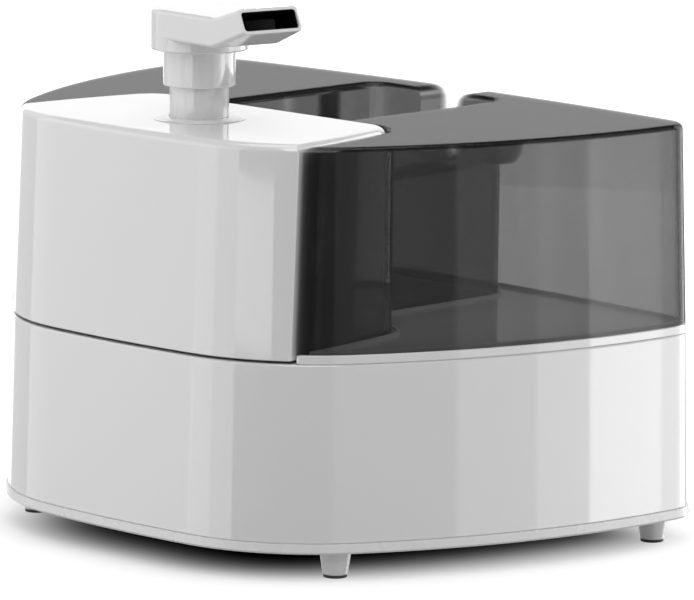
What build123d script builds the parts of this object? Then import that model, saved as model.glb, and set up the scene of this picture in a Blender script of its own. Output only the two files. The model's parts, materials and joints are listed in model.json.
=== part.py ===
from build123d import *
import os
from math import acos, atan2, cos, hypot, pi, radians, sin, tan

os.makedirs("parts", exist_ok=True)

# ---- driving dimensions, mm: +Z up, front towards -Y, origin under the middle of the plan ----
PLAN_RADII = (540.2, 73.0, 309.1, 13.7)  # arcs of half the plan, front middle to back corner
PLAN_TURNS = (4.66, 54.62, 29.52, 84.87)  # degrees each arc turns; a fifth arc closes the back
PLAN_FRONT = -105.0  # front middle of the plan at tank top level
DRAFT = tan(radians(1.99))
WALL = 2.5

Z_PLATE = 11.8  # underside of the bottom plate, on the feet
Z_RIM = 16.1  # joint between bottom plate and base shell
Z_DECK = 92.3  # top of the base
Z_FLOOR = 96.3  # joint between tank floor and tank shell
Z_TANK = 183.5  # top of the tank
Z_SKIRT = 93.6  # lower edge of the tower
Z_TOWER = 184.6  # top of the tower
RIM_STEP = 0.9  # bottom plate stands proud of the shell by this

TOWER_GAP = 1.0  # between tower and tank
TOWER_FRONT_X = 86.4
TOWER_BACK_Y = -14.5
TOWER_CORNER = 17.0

WELL_HALF = 40.0
WELL_BACK = 87.9
WELL_R = 9.5
LIP = 3.2  # tank top left over the finger pockets
POCKET_DEEP = 12.0
POCKET_LOW = 160.0
NOTCH_HALF = 10.6
NOTCH_FLARE = 7.2
NOTCH_LOW = 150.0

NOZ_Y = -60.5  # nozzle axis is x = 0
TUBE_R = 12.85
TUBE_BORE = 10.6
TURN_GAP = 0.05  # radial clearance of the turning and sliding tubes
SLEEVE_R = 15.6
Z_SLEEVE = 199.1
Z_CAP = 214.7
CAP_R = 21.1
Z_CAP_TOP = 232.8
CAP_EDGE = 2.4  # rounding of the head's upper edge
SPOUT_AZ = -10.9  # direction of the spout at rest
SPOUT_HALF = 17.2
SPOUT_KNEE = 35.4
Z_SPOUT = 219.7
MOUTH_HALF = 15.2
MOUTH_TOP = (51.4, 237.8)  # reach and height of the mouth's upper lip
MOUTH_LOW = (56.7, 227.6)
MOUTH_RIM = 1.45

FOOT_XY = ((93.0, -68.8), (134.4, 85.3))
FOOT_R_TOP = 6.9
FOOT_R_LOW = 5.4

POOL_X, POOL_Y = -92.0, 35.0
POOL_R = 36.0
Z_POOL = 64.0
TUB_X = 70.0
TUB_BACK = -26.0
Z_TUB = 66.0
NECK_R = 26.5
NECK_BEAD = 26.0
NECK_BORE = 23.5
FLOAT_X = 48.0
FAN_X, FAN_Y = -48.0, -52.0
KNOB_X, KNOB_Z = 60.0, 54.0
INLET_X, INLET_Z = -72.0, 40.0


# ---- helpers ----
def off(z):
    return (Z_TANK - z) * DRAFT


def plan_arcs(d):
    arcs = []
    x, y, turn = 0.0, PLAN_FRONT - d, 0.0
    spans = [(r, radians(a)) for r, a in zip(PLAN_RADII, PLAN_TURNS)]
    last = pi - sum(a for r, a in spans)
    for k in range(5):
        if k < 4:
            r, a = spans[k][0] + d, spans[k][1]
        else:
            r, a = x / sin(last), last
        trio = []
        for f in (0.0, 0.5, 1.0):
            t = turn + a * f
            trio.append((x + r * (sin(t) - sin(turn)), y - r * (cos(t) - cos(turn))))
        arcs.append(trio)
        x, y = trio[2]
        turn += a
    return arcs


def plan_wire(z, d):
    right = plan_arcs(d)
    right[-1][2] = (0.0, right[-1][2][1])
    left = [[(-p[0], p[1]) for p in trio[::-1]] for trio in right[::-1]]
    edges = [Edge.make_three_point_arc(*[(p[0], p[1], z) for p in trio]) for trio in right + left]
    return Wire(edges)


def plan_solid(levels):
    """Stack of plan outlines, each (height, outward offset)."""
    return Solid.make_loft([plan_wire(z, d) for z, d in levels], True)


def rounded_top(z0, z1, d0, d1, r):
    levels = [(z0, d0)]
    for k in range(4):
        a = radians(30.0 * k)
        levels.append((z1 - r + r * sin(a), d1 - r + r * cos(a)))
    return plan_solid(levels)


def tower_face(d):
    cx, cy = 62.7, TOWER_BACK_Y - TOWER_CORNER
    r = TOWER_CORNER + d

    def on_corner(a):
        return (cx + r * cos(radians(a)), cy + r * sin(radians(a)))

    a0 = (TOWER_FRONT_X + d, -150.0)
    a1 = (TOWER_FRONT_X + d, -80.0)
    a2 = (83.6 + 0.991 * d, -54.3 + 0.133 * d)
    a3 = on_corner(9.6)
    a4 = on_corner(50.0)
    a5 = (cx, TOWER_BACK_Y + d)

    def m(p):
        return (-p[0], p[1])

    line = [
        Edge.make_line(a0, a1),
        Edge.make_three_point_arc(a1, a2, a3),
        Edge.make_three_point_arc(a3, a4, a5),
        Edge.make_line(a5, m(a5)),
        Edge.make_three_point_arc(m(a5), m(a4), m(a3)),
        Edge.make_three_point_arc(m(a3), m(a2), m(a1)),
        Edge.make_line(m(a1), m(a0)),
        Edge.make_line(m(a0), a0),
    ]
    return Face(Wire(line))


def tower_prism(d, z0, z1):
    return Pos(0, 0, z0) * extrude(tower_face(d), z1 - z0, dir=(0, 0, 1))


def block(x0, x1, y0, y1, z0, z1):
    return Pos((x0 + x1) / 2, (y0 + y1) / 2, (z0 + z1) / 2) * Box(x1 - x0, y1 - y0, z1 - z0)


def slab(z0, z1):
    """Layer between two heights, larger than the whole object in plan."""
    return block(-160, 160, -130, 130, z0, z1)


def rod(x, y, r, z0, z1):
    return Pos(x, y, (z0 + z1) / 2) * Cylinder(r, z1 - z0)


def pipe(x, y, r_out, r_in, z0, z1):
    return rod(x, y, r_out, z0, z1) - rod(x, y, r_in, z0 - 1, z1 + 1)


def cone(x, y, r0, r1, z0, z1):
    return Pos(x, y, (z0 + z1) / 2) * Cone(r0, r1, z1 - z0)


def along_y(x, z, r, y0, y1):
    return Pos(x, (y0 + y1) / 2, z) * Rot(90, 0, 0) * Cylinder(r, y1 - y0)


def well_prism(d, z0, z1):
    w = 2 * (WELL_HALF + d)
    y1 = WELL_BACK + d
    low = block(-w / 2, w / 2, -45.0, y1 - WELL_R - d, z0, z1)
    r = WELL_R + d
    mid = block(-w / 2 + r, w / 2 - r, y1 - WELL_R - d - 0.5, y1, z0, z1)
    out = low + mid
    for s in (-1, 1):
        out += rod(s * (w / 2 - r), y1 - r, r, z0, z1)
    return out


def pocket(y0, y1, z0, z1, x0, x1, r, s):
    out = block(x0, x1, y0, y1, z0 + r, z1) + block(x0, x1, y0 + r, y1 - r, z0, z0 + r + 0.5)
    for y in (y0 + r, y1 - r):
        out += Pos((x0 + x1) / 2, y, z0 + r) * Rot(0, 90, 0) * Cylinder(r, x1 - x0)
    return out if s > 0 else mirror(out, Plane.YZ)


def notch(d):
    half = NOTCH_HALF + d
    r = NOTCH_FLARE
    low = NOTCH_LOW - d
    out = block(-half, half, 80.0, 115.0, low + half, 190.0)
    out += along_y(0, low + half, half, 80.0, 115.0)
    for s in (-1, 1):
        flare = block(half - 0.2, half + r, 80.0, 115.0, Z_TANK - r, 190.0)
        flare -= along_y(half + r, Z_TANK - r, r, 79.0, 116.0)
        out += flare if s > 0 else mirror(flare, Plane.YZ)
    return out


def one(shape, name):
    """Writes a node and prints its solid count."""
    solids = shape.solids()
    body = solids[0] if len(solids) == 1 else Compound(children=list(solids))
    export_step(body, f"parts/{name}.step")
    print(name, len(solids), round(sum(s.volume for s in solids)))


# ---- base shell: drafted wall, and inside it the ledge for the deck ----
def inside_shell(z):
    low, high = off(Z_RIM) - RIM_STEP - WALL, off(Z_DECK) - WALL
    return low + (high - low) * (z - Z_RIM + 1) / (Z_DECK - Z_RIM + 2)


shell = plan_solid([(Z_RIM, off(Z_RIM) - RIM_STEP), (Z_DECK - 1.0, off(Z_DECK)), (Z_DECK, off(Z_DECK) - 0.5)])
shell -= plan_solid([(z, inside_shell(z)) for z in (Z_RIM - 1, Z_DECK + 1)])
shelf = plan_solid([(z, inside_shell(z)) for z in (Z_DECK - 8, Z_DECK - 4.1)])
shelf -= plan_solid([(Z_DECK - 9, -2.6), (Z_DECK - 3, -2.6)])
one(shelf, "base_ledge")
shell -= along_y(KNOB_X, KNOB_Z, 20.3, 90.0, 125.0)
shell -= block(INLET_X - 12, INLET_X + 12, 95, 125, INLET_Z - 6, INLET_Z + 6)
shell -= along_y(KNOB_X - 32, KNOB_Z, 3.0, 90.0, 125.0)
one(shell, "base_shell")

# ---- bottom plate with intake slots, bosses and screw holes ----
plate = plan_solid([(Z_PLATE, off(Z_PLATE) - 0.6), (Z_PLATE + 0.8, off(Z_PLATE)), (Z_RIM, off(Z_RIM))])
plate -= plan_solid([(Z_PLATE + 3, -3.0), (Z_RIM + 1, -3.0)])
for k in range(-4, 5):
    plate -= block(FAN_X - 24, FAN_X + 24, FAN_Y + 6 * k - 1.3, FAN_Y + 6 * k + 1.3, 5, 20)
SCREW_XY = ((78.0, -50.0), (-78.0, -50.0), (118.0, 62.0), (-118.0, 62.0), (20.0, 92.0), (-20.0, 92.0))
for x, y in SCREW_XY:
    plate += rod(x, y, 6.0, Z_PLATE + 2.9, Z_PLATE + 9)
    plate -= rod(x, y, 3.6, Z_PLATE - 1, Z_PLATE + 2.4)
    plate -= rod(x, y, 1.9, Z_PLATE - 1, Z_PLATE + 10)
one(plate, "base_bottom_plate")

screws = []
for x, y in SCREW_XY:
    head = rod(x, y, 3.4, Z_PLATE + 0.3, Z_PLATE + 2.4)
    head -= block(x - 2.2, x + 2.2, y - 0.4, y + 0.4, Z_PLATE - 1, Z_PLATE + 1.3)
    head -= block(x - 0.4, x + 0.4, y - 2.2, y + 2.2, Z_PLATE - 1, Z_PLATE + 1.3)
    screws.append(head + rod(x, y, 1.5, Z_PLATE + 2.3, Z_PLATE + 18))
one(Compound(children=screws), "bottom_screws")

feet = []
pads = []
for x, y in FOOT_XY:
    for s in (-1, 1):
        foot = cone(s * x, y, FOOT_R_LOW, FOOT_R_TOP, 1.2, Z_PLATE)
        foot -= rod(s * x, y, 3.4, 0, 2.2)
        feet.append(foot)
        pads.append(rod(s * x, y, 5.0, 0, 1.2) + rod(s * x, y, 3.3, 1.1, 2.1))
one(Compound(children=feet), "feet")
one(Compound(children=pads), "foot_pads")


# ---- deck: lid of the base with the water pool, channel, mist basin and transducer well ----
def inside_plan(d, z0, z1):
    return plan_solid([(z0, d), (z1, d)])


deck = inside_plan(0.45, Z_DECK - 4.0, Z_DECK)
tub_out = inside_plan(-3.0, Z_TUB - 2.5, Z_DECK - 3.9)
tub_out &= block(-TUB_X - 2.5, TUB_X + 2.5, -130, TUB_BACK + 2.5, 50, 100)
deck += tub_out
deck += rod(POOL_X, POOL_Y, POOL_R + 2.5, Z_POOL - 2.5, Z_DECK - 1)
CHAN = Pos(-70, -12, 0) * Rot(0, 0, 118)
deck += CHAN * block(-34, 30, -14.5, 14.5, Z_TUB + 2.5, Z_DECK - 1)
tub_in = inside_plan(-5.5, Z_TUB, Z_DECK + 1)
tub_in &= block(-TUB_X, TUB_X, -130, TUB_BACK, 50, 110)
deck -= tub_in
deck -= rod(POOL_X, POOL_Y, POOL_R, Z_POOL, Z_DECK + 1)
deck -= CHAN * block(-31, 30, -12, 12, Z_TUB + 5, Z_DECK + 1)
deck += rod(0, NOZ_Y, 17.0, 56.0, Z_TUB - 1)
deck -= rod(0, NOZ_Y, 11.0, 60.0, Z_TUB + 1)
deck -= rod(0, NOZ_Y, 14.0, 50.0, 60.5)
deck -= cone(0, NOZ_Y, 11.0, 15.0, 62.0, Z_TUB + 0.01)
deck += rod(POOL_X, POOL_Y, 9.0, Z_POOL - 1, Z_POOL + 1) + rod(POOL_X, POOL_Y, 4.0, Z_POOL - 1, 70.0)
deck += rod(FLOAT_X, NOZ_Y, 3.0, Z_TUB - 1, 84.0)
deck -= rod(FAN_X, FAN_Y - 6, 14.1, 50, 100)
lid = deck & slab(Z_DECK - 4, Z_DECK + 1)
one(lid, "deck_lid")
deck -= slab(Z_DECK - 4, Z_DECK + 1)
pool_side = rod(POOL_X, POOL_Y, POOL_R + 2.5, 50, Z_DECK)
one(deck & pool_side, "deck_pool")
deck -= pool_side
tub_side = block(-TUB_X - 2.5, TUB_X + 2.5, -130, TUB_BACK + 2.5, 50, Z_DECK)
one(deck & tub_side, "deck_tub")
one(deck - tub_side, "deck_channel")
one(pipe(FAN_X, FAN_Y - 6, 16.6, 14.1, Z_TUB, 86.0), "riser_collar")

# ---- ultrasonic transducer, its seal, clamping ring and heat sink ----
one(rod(0, NOZ_Y, 10.0, 58.4, 59.6), "transducer_disc")
seal = pipe(0, NOZ_Y, 13.8, 8.6, 57.2, 60.5) - rod(0, NOZ_Y, 10.0, 58.4, 59.6)
one(seal, "transducer_seal")
ring = pipe(0, NOZ_Y, 16.8, 8.0, 53.5, 56.0) + pipe(0, NOZ_Y, 13.8, 8.0, 55.9, 57.2)
one(ring, "transducer_ring")
sink = block(-17, 17, NOZ_Y - 17, NOZ_Y + 17, 50.5, 53.5)
for k in range(7):
    sink += block(-17, 17, NOZ_Y - 17 + 5.3 * k, NOZ_Y - 15 + 5.3 * k, 38.0, 50.6)
one(sink, "heat_sink")

# ---- float, its retainer and the level sensor below it ----
flt = pipe(FLOAT_X, NOZ_Y, 11.0, 3.4, Z_TUB + 0.6, Z_TUB + 9.6)
flt -= pipe(FLOAT_X, NOZ_Y, 8.5, 6.0, Z_TUB + 7.6, Z_TUB + 10)
one(flt, "level_float")
one(pipe(FLOAT_X, NOZ_Y, 5.5, 2.0, 84.0, 86.0) + rod(FLOAT_X, NOZ_Y, 2.6, 85.0, 87.0), "float_retainer")
one(block(FLOAT_X - 7, FLOAT_X + 7, NOZ_Y - 4, NOZ_Y + 4, 59.5, Z_TUB - 2.5), "level_sensor")

# ---- fan: housing, motor, impeller, riser and splash cap ----
fan_box = block(FAN_X - 26, FAN_X + 26, FAN_Y - 26, FAN_Y + 26, 26.0, 42.0)
fan_box -= rod(FAN_X, FAN_Y, 23.0, 25, 43)
fan_box += rod(FAN_X, FAN_Y, 11.0, 26.0, 27.6)
for k in range(4):
    spoke = Pos(FAN_X, FAN_Y, 0) * Rot(0, 0, 45 + 90 * k) * block(10, 24, -1.2, 1.2, 26.0, 27.6)
    fan_box += spoke
for sx in (-1, 1):
    for sy in (-1, 1):
        post = rod(FAN_X + 22 * sx, FAN_Y + 22 * sy, 3.2, Z_PLATE + 3.0, 26.1)
        fan_box += post
        fan_box -= rod(FAN_X + 22 * sx, FAN_Y + 22 * sy, 1.4, 10, 43)
one(fan_box, "fan_housing")
motor = rod(FAN_X, FAN_Y, 7.0, 27.6, 34.0) + rod(FAN_X, FAN_Y, 1.2, 33.9, 37.0)
one(motor, "fan_motor")
hub = rod(FAN_X, FAN_Y, 9.5, 28.4, 39.4) - rod(FAN_X, FAN_Y, 8.6, 27, 37.6)
hub += pipe(FAN_X, FAN_Y, 2.6, 1.25, 34.6, 37.7)
for k in range(7):
    blade = Rot(38, 0, 0) * Box(13.6, 11.0, 1.3)
    hub += Pos(FAN_X, FAN_Y, 0) * Rot(0, 0, 360.0 / 7 * k) * Pos(15.6, 0, 34.0) * blade
one(hub, "fan_impeller")
hood = block(FAN_X - 26, FAN_X + 26, FAN_Y - 26, FAN_Y + 26, 42.0, 44.0)
hood += cone(FAN_X, FAN_Y - 3, 22.0, 17.0, 43.9, 54.0)
hood += rod(FAN_X, FAN_Y - 6, 14.0, 50.0, 84.0)
hood -= cone(FAN_X, FAN_Y - 3, 20.4, 12.6, 42.0, 54.1) + rod(FAN_X, FAN_Y, 20.0, 41, 42.1)
hood -= rod(FAN_X, FAN_Y - 6, 12.4, 50.0, 85.0)
one(hood, "air_riser")
splash = rod(FAN_X, FAN_Y - 6, 19.0, 91.0, 92.6)
for k in range(3):
    leg = Pos(FAN_X, FAN_Y - 6, 0) * Rot(0, 0, 120 * k + 30) * block(14.6, 16.4, -2, 2, 86.0, 91.1)
    splash += leg
one(splash, "splash_cap")
mesh_pad = block(FAN_X - 23, FAN_X + 23, FAN_Y - 25, FAN_Y + 25, 14.8, 16.8)
for a in (-22, 22):
    for b in (-22, 22):
        mesh_pad -= block(FAN_X + a - 6, FAN_X + a + 6, FAN_Y + b - 6, FAN_Y + b + 6, 10, 20)
one(mesh_pad, "intake_filter")

# ---- boards and electrical pieces ----
drv = block(24, 74, -44, -6, 32.0, 33.6)
for x, y in ((28, -40), (70, -40), (28, -10), (70, -10)):
    drv += rod(x, y, 2.6, Z_PLATE + 3, 32.1)
one(drv, "driver_board")
bits = [block(52, 64, -36, -20, 33.6, 45.0)]
bits.append(rod(36, -34, 5.0, 33.6, 48.0))
bits.append(rod(36, -20, 6.5, 33.6, 40.0) - rod(36, -20, 2.5, 33.0, 41.0))
bits.append(block(46, 50, -16, -10, 33.6, 37.0))
bits.append(block(68, 72, -32, -18, 33.6, 39.0))
one(Compound(children=bits), "driver_components")
pwr = block(-110, -50, 20, 84, 32.0, 33.6)
for x, y in ((-106, 24), (-54, 24), (-106, 80), (-54, 80)):
    pwr += rod(x, y, 2.6, Z_PLATE + 3, 32.1)
one(pwr, "power_board")
one(block(-96, -70, 30, 52, 33.6, 54.0) + block(-90, -76, 27, 55, 36.0, 52.0), "transformer")
caps = [rod(-60, 34, 5.5, 33.6, 55.0), rod(-60, 48, 4.0, 33.6, 47.0), block(-104, -99, 58, 74, 33.6, 44.0)]
one(Compound(children=caps), "power_capacitors")

# ---- power inlet in the back wall ----
back_low = 107.9
inlet = block(INLET_X - 11.8, INLET_X + 11.8, 90, back_low, INLET_Z - 5.8, INLET_Z + 5.8)
inlet += block(INLET_X - 14.5, INLET_X + 14.5, back_low - 0.6, back_low + 1.4, INLET_Z - 8.5, INLET_Z + 8.5)
inlet -= block(INLET_X - 8.2, INLET_X + 8.2, 96, 120, INLET_Z - 4.2, INLET_Z + 4.2)
clear = plan_solid([(Z_RIM, off(Z_RIM) - RIM_STEP + 0.02), (Z_DECK - 1.0, off(Z_DECK) + 0.02)])
inlet_flange = block(INLET_X - 14.5, INLET_X + 14.5, 100, 125, INLET_Z - 8.5, INLET_Z + 8.5)
inlet -= (inlet_flange & clear) - block(INLET_X - 11.8, INLET_X + 11.8, 80, 125, INLET_Z - 5.8, INLET_Z + 5.8)
one(inlet, "power_inlet")
pins = []
for s in (-1, 1):
    pins.append(along_y(INLET_X + 4.3 * s, INLET_Z, 1.2, 92, 104.5) + block(
        INLET_X + 4.3 * s - 1.5, INLET_X + 4.3 * s + 1.5, 84, 92.2, INLET_Z - 0.5, INLET_Z + 0.5))
inlet_pins = Compound(children=pins)
one(inlet_pins, "inlet_pins")

# ---- output control at the back: cup, potentiometer, knob and indicator ----
cup = along_y(KNOB_X, KNOB_Z, 20.2, 97.0, 109.6) - along_y(KNOB_X, KNOB_Z, 18.6, 99.0, 112.0)
cup -= along_y(KNOB_X, KNOB_Z, 3.6, 90.0, 100.0)
one(cup, "knob_bezel")
pot = block(KNOB_X - 9, KNOB_X + 9, 88.0, 97.0, KNOB_Z - 10, KNOB_Z + 9)
pot += along_y(KNOB_X, KNOB_Z, 3.0, 96.5, 107.0)
one(pot, "potentiometer")
knob = along_y(KNOB_X, KNOB_Z, 15.0, 100.0, 110.4) - along_y(KNOB_X, KNOB_Z, 3.05, 99.0, 107.4)
knob += along_y(KNOB_X, KNOB_Z, 17.0, 100.0, 102.0) - along_y(KNOB_X, KNOB_Z, 14.0, 99.0, 103.0)
for k in range(20):
    a = radians(18 * k + 9)
    knob -= along_y(KNOB_X + 15.4 * cos(a), KNOB_Z + 15.4 * sin(a), 0.9, 103.0, 111.0)
knob -= block(KNOB_X - 0.7, KNOB_X + 0.7, 109.6, 112.0, KNOB_Z + 4, KNOB_Z + 16)
one(knob, "control_knob")
one(along_y(KNOB_X - 32, KNOB_Z, 2.95, 99.0, 108.9), "indicator_lens")


# ---- wiring inside the base ----
def lead(points, bend, r):
    path = FilletPolyline(*points, radius=bend)
    return sweep(Plane(origin=path @ 0, z_dir=path % 0) * Circle(r), path=path)


def leads():
    out = []
    board = 33.6
    for s in (-1, 1):
        x = INLET_X + 4.3 * s
        out.append(lead([(x, 83.9, INLET_Z), (x, 74, INLET_Z), (x, 74, board)], 3.0, 0.9))
        d = 3.0 * s
        out.append(lead([(-54, 60 + d, board), (-54, 60 + d, 41), (27, -14 + d, 41), (27, -14 + d, board)], 3.0, 0.8))
        out.append(lead([(-21.9, -34 + d, 36), (26.6, -34 + d, 36), (26.6, -34 + d, board)], 1.8, 0.8))
        out.append(lead([(60 + d, 87.6, 50), (60 + d, 60, 42), (44 + d, -8, 42), (44 + d, -8, board)], 3.0, 0.8))
    return out


one(Compound(children=leads()), "wiring")


# ---- tank: one U-shaped vessel wrapped round the tower, with a deep hand well ----
def tower_loft(levels):
    return Solid.make_loft([(Pos(0, 0, z) * tower_face(d)).outer_wire() for z, d in levels], True)


def flare(z1, d, r):
    levels = []
    for k in range(4):
        a = radians(30.0 * k)
        levels.append((z1 - r + r * sin(a), d + r - r * cos(a)))
    return levels


def cavity(d, z0, z1):
    room = plan_solid([(z0, off(z0) - WALL - d), (z1, off(z1) - WALL - d)])
    room -= tower_prism(TOWER_GAP + WALL + d, z0 - 1, z1 + 1)
    return room - well_prism(WALL + d, z0 - 1, z1 + 1)


tank = rounded_top(Z_FLOOR, Z_TANK, off(Z_FLOOR), 0.0, 2.8)
recess = tower_loft([(Z_FLOOR - 1, TOWER_GAP)] + flare(Z_TANK, TOWER_GAP, 1.5) + [(Z_TANK + 2, TOWER_GAP + 1.5)])
tank -= recess
tank -= well_prism(0, Z_FLOOR + WALL, Z_TANK + 5)
tank -= notch(0)
room = cavity(0, Z_FLOOR - 1, Z_TANK - WALL)
room -= notch(WALL)
POCKETS = ((-10.3, 63.4), (67.0, 83.0))
x_in = WELL_HALF - 2.0
for s in (-1, 1):
    for y0, y1 in POCKETS:
        r = 12.0 if y1 - y0 > 40 else 5.0
        tank -= pocket(y0, y1, POCKET_LOW, Z_TANK - LIP, x_in, WELL_HALF + POCKET_DEEP, r, s)
        room -= pocket(y0 - WALL, y1 + WALL, POCKET_LOW - WALL, Z_TANK + 4,
                       x_in, WELL_HALF + POCKET_DEEP + WALL, r + WALL, s)
tank -= room

# the one moulding is kept as simple walls, so that each collides as the thin wall it is
low_part = slab(Z_FLOOR - 5, Z_TANK - LIP)
one(tank - low_part, "tank_top")
walls = tank & low_part
cut_in = WALL + 0.6
core = plan_solid([(z, off(z) - cut_in) for z in (Z_FLOOR - 5, Z_TANK)])
one(walls - core, "tank_outer_wall")
walls &= core
front_end = POCKETS[0][0]
bridge_half = WELL_HALF - WELL_R
one(walls & block(-160, 160, -130, front_end, 0, 200), "tank_tower_walls")
one(walls & block(bridge_half, 160, front_end, 130, 0, 200), "tank_grip_right")
one(walls & block(-160, -bridge_half, front_end, 130, 0, 200), "tank_grip_left")
one(walls & block(-bridge_half, bridge_half, front_end, 130, 0, 200), "tank_bridge")

floor = plan_solid([(Z_DECK, off(Z_DECK)), (Z_FLOOR, off(Z_FLOOR))])
floor -= tower_prism(TOWER_GAP, Z_DECK - 1, Z_FLOOR + 1)
floor += rod(POOL_X, POOL_Y, NECK_BEAD, Z_FLOOR - 1, Z_FLOOR + 1.6)
floor -= rod(POOL_X, POOL_Y, NECK_BORE, 80, 100)
one(floor, "tank_floor")
one(pipe(POOL_X, POOL_Y, NECK_R, NECK_BORE, 81.3, Z_DECK), "tank_neck")
bead = cavity(0.02, Z_FLOOR, Z_FLOOR + 1.3) - cavity(1.5, Z_FLOOR - 0.5, Z_FLOOR + 2)
one(bead, "tank_seal")

# ---- cap on the tank's neck, with its sprung valve ----
cap = pipe(POOL_X, POOL_Y, 30.5, NECK_R + 0.08, 79.0, 91.4) + rod(POOL_X, POOL_Y, 30.5, 76.3, 79.0)
cap -= rod(POOL_X, POOL_Y, 7.0, 70, 80)
for k in range(20):
    rib = Pos(POOL_X, POOL_Y, 0) * Rot(0, 0, 18 * k) * block(30.2, 31.4, -1.1, 1.1, 77.3, 90.4)
    cap += rib
for k in range(3):
    arm = Pos(POOL_X, POOL_Y, 0) * Rot(0, 0, 120 * k)
    cap += arm * block(13.0, 15.0, -2.0, 2.0, 78.5, 98.0)
    cap += arm * block(2.8, 15.0, -2.0, 2.0, 96.0, 98.0)
cap += pipe(POOL_X, POOL_Y, 5.0, 2.05, 94.0, 98.0)
one(cap, "tank_cap")
one(pipe(POOL_X, POOL_Y, 26.4, 21.0, 79.0, 81.3), "cap_gasket")
plunger = rod(POOL_X, POOL_Y, 2.0, 70.0, 103.0) + rod(POOL_X, POOL_Y, 9.0, 86.2, 88.0)
plunger += rod(POOL_X, POOL_Y, 4.0, 84.6, 86.3)
one(plunger, "valve_plunger")
one(pipe(POOL_X, POOL_Y, 9.6, 4.0, 85.0, 86.2), "valve_seal")
turns = 3.0
coil = Helix(pitch=(93.4 - 88.6) / turns, height=93.4 - 88.6, radius=6.0)
wire_face = Plane(origin=coil @ 0, z_dir=coil % 0) * Circle(0.45)
spring = Pos(POOL_X, POOL_Y, 88.6) * Solid(sweep(wire_face, path=coil).wrapped)
spring += pipe(POOL_X, POOL_Y, 6.6, 5.4, 88.02, 88.7) + pipe(POOL_X, POOL_Y, 6.6, 5.4, 93.3, 93.98)
one(spring, "valve_spring")

# ---- tower cover over the mist basin ----
tower = rounded_top(Z_SKIRT, Z_TOWER, off(Z_SKIRT), -0.04, 4.0)
steps = [(Z_TOWER - 3.5 + 3.5 * sin(radians(30 * k)), -3.5 + 3.5 * cos(radians(30 * k))) for k in range(4)]
tower &= tower_loft([(Z_SKIRT - 1, 0.0)] + steps + [(Z_TOWER + 1, -3.5)])
hollow = plan_solid([(Z_SKIRT - 1, off(Z_SKIRT) - WALL), (Z_TOWER - WALL - 2, off(Z_TOWER) - WALL),
                     (Z_TOWER - WALL, off(Z_TOWER) - WALL - 2)])
hollow &= tower_loft([(Z_SKIRT - 2, -WALL), (Z_TOWER - WALL - 2, -WALL), (Z_TOWER - WALL + 0.5, -WALL - 2.5)])
tower -= hollow
tower -= rod(0, NOZ_Y, 15.6, Z_TOWER - 10, Z_TOWER + 5)
for s in (-1, 1):
    tower += block(s * 82.4 - 0.9, s * 82.4 + 0.9, -62, -52, Z_DECK, Z_SKIRT + 4)
    tower += block(s * 30 - 8, s * 30 + 8, -16.8, -14.8, Z_DECK, Z_SKIRT + 4)
top_part = slab(Z_TOWER - WALL - 2, Z_TOWER + 1)
one(tower & top_part, "tower_top")
one(tower - top_part, "tower_cover")
flange = rod(0, NOZ_Y, 19.9, Z_TOWER, Z_TOWER + 1.2) + rod(0, NOZ_Y, 15.5, 152.0, Z_TOWER + 0.5)
flange -= rod(0, NOZ_Y, TUBE_R + TURN_GAP, 158.0, 200) + rod(0, NOZ_Y, TUBE_BORE, 150, 160)
one(flange, "nozzle_flange")
duct = cone(0, NOZ_Y, 27.0, 17.4, 97.0, 130.0) + rod(0, NOZ_Y, 17.4, 129.9, 160.0)
duct -= cone(0, NOZ_Y, 25.4, 15.8, 97.0 - 0.01, 130.01) + rod(0, NOZ_Y, 15.55, 129.5, 161.0)
one(duct, "mist_duct")

# ---- nozzle tube, which pulls out of the tower, with its snap ring ----
tube = pipe(0, NOZ_Y, TUBE_R, TUBE_BORE, 158.2, 213.4)
groove = pipe(0, NOZ_Y, TUBE_R + 2, TUBE_R - 0.9, 205.0, 206.6)
tube -= groove
one(tube, "nozzle_tube")
one(pipe(0, NOZ_Y, 13.9, TUBE_R - 0.9, 205.0, 206.6), "nozzle_snap_ring")

# ---- turning nozzle head with its angled spout ----
dir_x = MOUTH_TOP[0] - MOUTH_LOW[0]
dir_z = MOUTH_TOP[1] - MOUTH_LOW[1]
span = (dir_x**2 + dir_z**2) ** 0.5


def spout(inset_wall, inset_rim, push):
    half0 = SPOUT_HALF - inset_wall
    z0 = Z_SPOUT + inset_wall
    z1 = Z_CAP_TOP - inset_wall
    k = inset_rim / span
    low = (MOUTH_LOW[0] + k * dir_x, MOUTH_LOW[1] + k * dir_z)
    top = (MOUTH_TOP[0] - k * dir_x, MOUTH_TOP[1] - k * dir_z)
    half1 = MOUTH_HALF - inset_rim
    a = [(SPOUT_KNEE, -half0, z0), (SPOUT_KNEE, half0, z0), (SPOUT_KNEE, half0, z1), (SPOUT_KNEE, -half0, z1)]
    b = [(low[0], -half1, low[1]), (low[0], half1, low[1]), (top[0], half1, top[1]), (top[0], -half1, top[1])]
    b = [tuple(q + push * (q - p) for p, q in zip(u, v)) for u, v in zip(a, b)]
    wires = [Wire.make_polygon([Vector(*p) for p in ring_pts], close=True) for ring_pts in (a, b)]
    return Solid.make_loft(wires, True)


def spout_root():
    """Flat-sided part of the head, whose sides run on from its round back."""
    r = CAP_R - 0.1
    turn = atan2(SPOUT_HALF, SPOUT_KNEE) + acos(r / hypot(SPOUT_HALF, SPOUT_KNEE))
    x, y = r * cos(turn), r * sin(turn)
    outline = [(x, -y), (SPOUT_KNEE, -SPOUT_HALF), (SPOUT_KNEE, SPOUT_HALF), (x, y)]
    face = Face(Wire.make_polygon([Vector(*p, Z_SPOUT) for p in outline], close=True))
    return Solid.extrude(face, Vector(0, 0, Z_CAP_TOP - Z_SPOUT))


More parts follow.
